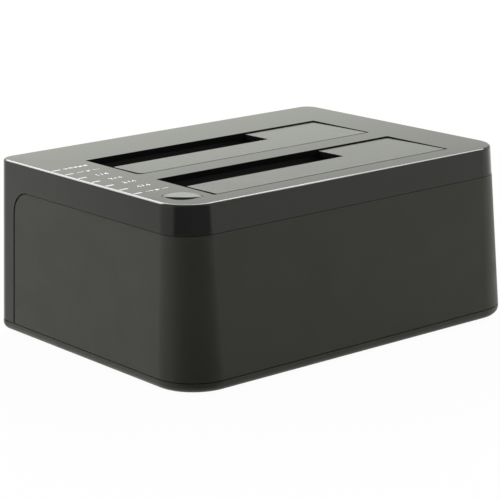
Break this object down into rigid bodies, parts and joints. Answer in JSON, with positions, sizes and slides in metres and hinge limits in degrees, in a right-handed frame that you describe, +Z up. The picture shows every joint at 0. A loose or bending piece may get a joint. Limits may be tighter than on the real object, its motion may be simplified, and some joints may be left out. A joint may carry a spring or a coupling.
{
  "type": "hard drive docking station",
  "caption": "Low drafted desktop dock for bare drives: gloss top with sprung L-shaped flaps over side-by-side bays, push button, light windows, matte lower shell.",
  "frame": {"origin": "middle of the footprint, on the surface that the rubber feet stand on", "axes": "+X to the right along the front, +Y from the front to the back, +Z up"},
  "size_m": [0.1518, 0.1116, 0.0637],
  "materials": {
    "gloss_black": "polished",
    "matte_charcoal": "fine texture",
    "inner_black": "moulded",
    "rubber_black": "soft",
    "bright_steel": "plated",
    "clear_plastic": "clear",
    "board_green": "lacquered",
    "pale_plastic": "moulded",
    "blue_plastic": "moulded",
    "gilt": "plated",
    "can_aluminium": "sleeved can"
  },
  "bodies": {
    "housing": {"top_bezel": "gloss_black", "lower_shell": "matte_charcoal", "base_plate": "matte_charcoal", "rubber_feet": "rubber_black", "base_screws": "bright_steel", "rear_drive_guide": "inner_black", "front_drive_guide": "inner_black", "guide_screws": "bright_steel", "rear_hinge_pin": "bright_steel", "front_hinge_pin": "bright_steel", "rear_flap_spring": "bright_steel", "front_flap_spring": "bright_steel", "light_guide": "clear_plastic", "indicator_board": "board_green", "indicator_screws": "bright_steel", "indicator_leds": "clear_plastic", "tact_switch": "inner_black", "indicator_ribbon": "pale_plastic", "ribbon_sockets": "pale_plastic", "main_board": "board_green", "board_screws": "bright_steel", "rear_drive_connector": "inner_black", "front_drive_connector": "inner_black", "rear_connector_contacts": "gilt", "front_connector_contacts": "gilt", "bridge_chip": "inner_black", "flash_chip": "inner_black", "clock_crystal": "bright_steel", "power_coils": "inner_black", "power_capacitors": "can_aluminium", "usb_port_shell": "bright_steel", "usb_port_tongue": "blue_plastic", "dc_jack": "inner_black", "dc_jack_pin": "bright_steel", "power_switch_frame": "inner_black"},
    "rear_flap": {"rear_flap": "gloss_black"},
    "front_flap": {"front_flap": "gloss_black"},
    "clone_button": {"clone_button": "gloss_black", "tact_plunger": "pale_plastic"},
    "power_rocker": {"power_rocker": "inner_black"}
  },
  "joints": [
    {"name": "rear_flap_hinge", "type": "hinge", "parent": "housing", "child": "rear_flap", "pos_m": [0, -0.0024, 0.0587], "axis": [-1, 0, 0], "range_deg": [0, 90], "stiffness_Nm_per_rad": 0.004, "springref_deg": -28.65, "deforming": ["rear_flap_spring"]},
    {"name": "front_flap_hinge", "type": "hinge", "parent": "housing", "child": "front_flap", "pos_m": [0, -0.0438, 0.0587], "axis": [-1, 0, 0], "range_deg": [0, 90], "stiffness_Nm_per_rad": 0.004, "springref_deg": -28.65, "deforming": ["front_flap_spring"]},
    {"name": "clone_button_push", "type": "slide", "parent": "housing", "child": "clone_button", "axis": [0, 0, -1], "range_m": [0, 0.0005], "stiffness_N_per_m": 3000, "springref_m": -0.0002},
    {"name": "power_rocker_tilt", "type": "hinge", "parent": "housing", "child": "power_rocker", "pos_m": [-0.036, 0.0505, 0.01535], "axis": [0, 0, 1], "range_deg": [-16, 0]}
  ]
}
